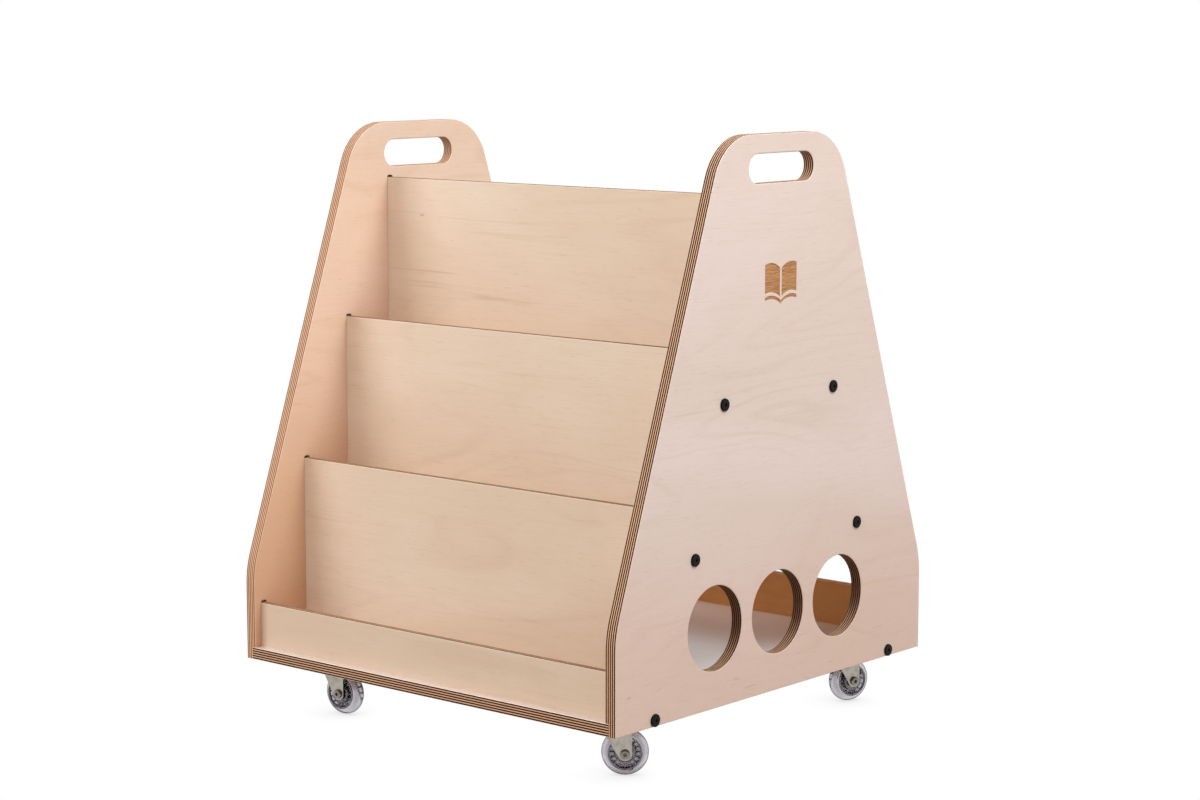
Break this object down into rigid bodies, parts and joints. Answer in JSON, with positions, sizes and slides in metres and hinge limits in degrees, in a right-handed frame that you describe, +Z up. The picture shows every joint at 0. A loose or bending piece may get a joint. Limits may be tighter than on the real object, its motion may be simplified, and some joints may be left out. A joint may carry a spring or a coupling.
{
  "type": "book cart",
  "caption": "Rolling plywood book display cart: sloped sides with handle slots and round holes, stepped face-out tiers in front, open bays behind, clear swivel casters.",
  "frame": {"origin": "on the floor, under the centre of the cart", "axes": "+X to the right seen from the front, -Y towards the front where the books face, +Z up"},
  "size_m": [0.6052, 0.595, 0.728],
  "materials": {
    "side_plywood": "satin clear lacquer",
    "board_plywood": "satin clear lacquer",
    "panel_plywood": "satin clear lacquer",
    "black_bolt": "black oxide, satin",
    "zinc_nut": "zinc plated",
    "zinc_screw": "zinc plated",
    "zinc_pin": "zinc plated, satin",
    "bearing_steel": "ground",
    "nickel_sheet": "nickel plated, satin",
    "clear_core": "clear moulded plastic",
    "clear_tread": "clear polyurethane"
  },
  "bodies": {
    "cart": {"barrel_nuts": "zinc_nut", "base_board": "board_plywood", "connector_bolts": "black_bolt", "display_panel_lower": "panel_plywood", "display_panel_middle": "panel_plywood", "display_panel_upper": "panel_plywood", "front_lip": "panel_plywood", "rear_lip_lower": "panel_plywood", "rear_lip_middle": "panel_plywood", "rear_lip_upper": "panel_plywood", "shelf_middle": "board_plywood", "shelf_top": "board_plywood", "side_panel_left": "side_plywood", "side_panel_right": "side_plywood", "caster_front_right_plate": "nickel_sheet", "caster_front_right_plate_screws": "zinc_screw", "caster_front_right_king_pin": "zinc_pin", "caster_rear_right_plate": "nickel_sheet", "caster_rear_right_plate_screws": "zinc_screw", "caster_rear_right_king_pin": "zinc_pin", "caster_front_left_plate": "nickel_sheet", "caster_front_left_plate_screws": "zinc_screw", "caster_front_left_king_pin": "zinc_pin", "caster_rear_left_plate": "nickel_sheet", "caster_rear_left_plate_screws": "zinc_screw", "caster_rear_left_king_pin": "zinc_pin"},
    "fork_front_right": {"caster_front_right_fork": "nickel_sheet", "caster_front_right_swivel_balls": "bearing_steel", "caster_front_right_axle_bolt": "zinc_pin", "caster_front_right_axle_nut": "zinc_pin", "caster_front_right_axle_sleeve": "zinc_pin"},
    "wheel_front_right": {"caster_front_right_wheel_core": "clear_core", "caster_front_right_wheel_tread": "clear_tread", "caster_front_right_wheel_bearings": "bearing_steel"},
    "fork_rear_right": {"caster_rear_right_fork": "nickel_sheet", "caster_rear_right_swivel_balls": "bearing_steel", "caster_rear_right_axle_bolt": "zinc_pin", "caster_rear_right_axle_nut": "zinc_pin", "caster_rear_right_axle_sleeve": "zinc_pin"},
    "wheel_rear_right": {"caster_rear_right_wheel_core": "clear_core", "caster_rear_right_wheel_tread": "clear_tread", "caster_rear_right_wheel_bearings": "bearing_steel"},
    "fork_front_left": {"caster_front_left_fork": "nickel_sheet", "caster_front_left_swivel_balls": "bearing_steel", "caster_front_left_axle_bolt": "zinc_pin", "caster_front_left_axle_nut": "zinc_pin", "caster_front_left_axle_sleeve": "zinc_pin"},
    "wheel_front_left": {"caster_front_left_wheel_core": "clear_core", "caster_front_left_wheel_tread": "clear_tread", "caster_front_left_wheel_bearings": "bearing_steel"},
    "fork_rear_left": {"caster_rear_left_fork": "nickel_sheet", "caster_rear_left_swivel_balls": "bearing_steel", "caster_rear_left_axle_bolt": "zinc_pin", "caster_rear_left_axle_nut": "zinc_pin", "caster_rear_left_axle_sleeve": "zinc_pin"},
    "wheel_rear_left": {"caster_rear_left_wheel_core": "clear_core", "caster_rear_left_wheel_tread": "clear_tread", "caster_rear_left_wheel_bearings": "bearing_steel"}
  },
  "joints": [
    {"name": "front_right_swivel", "type": "hinge", "parent": "cart", "child": "fork_front_right", "pos_m": [0.225, -0.2225, 0.0635], "axis": [0, 0, 1], "continuous": true},
    {"name": "front_right_roll", "type": "hinge", "parent": "fork_front_right", "child": "wheel_front_right", "pos_m": [0.24032, -0.20964, 0.0275], "axis": [-0.6428, 0.766, 0], "continuous": true},
    {"name": "rear_right_swivel", "type": "hinge", "parent": "cart", "child": "fork_rear_right", "pos_m": [0.225, 0.2225, 0.0635], "axis": [0, 0, 1], "continuous": true},
    {"name": "rear_right_roll", "type": "hinge", "parent": "fork_rear_right", "child": "wheel_rear_right", "pos_m": [0.23184, 0.24129, 0.0275], "axis": [-0.9397, 0.342, 0], "continuous": true},
    {"name": "front_left_swivel", "type": "hinge", "parent": "cart", "child": "fork_front_left", "pos_m": [-0.225, -0.2225, 0.0635], "axis": [0, 0, 1], "continuous": true},
    {"name": "front_left_roll", "type": "hinge", "parent": "fork_front_left", "child": "wheel_front_left", "pos_m": [-0.20505, -0.2211, 0.0275], "axis": [-0.0698, 0.9976, 0], "continuous": true},
    {"name": "rear_left_swivel", "type": "hinge", "parent": "cart", "child": "fork_rear_left", "pos_m": [-0.225, 0.2225, 0.0635], "axis": [0, 0, 1], "continuous": true},
    {"name": "rear_left_roll", "type": "hinge", "parent": "fork_rear_left", "child": "wheel_rear_left", "pos_m": [-0.20687, 0.23095, 0.0275], "axis": [-0.4226, 0.9063, 0], "continuous": true}
  ]
}
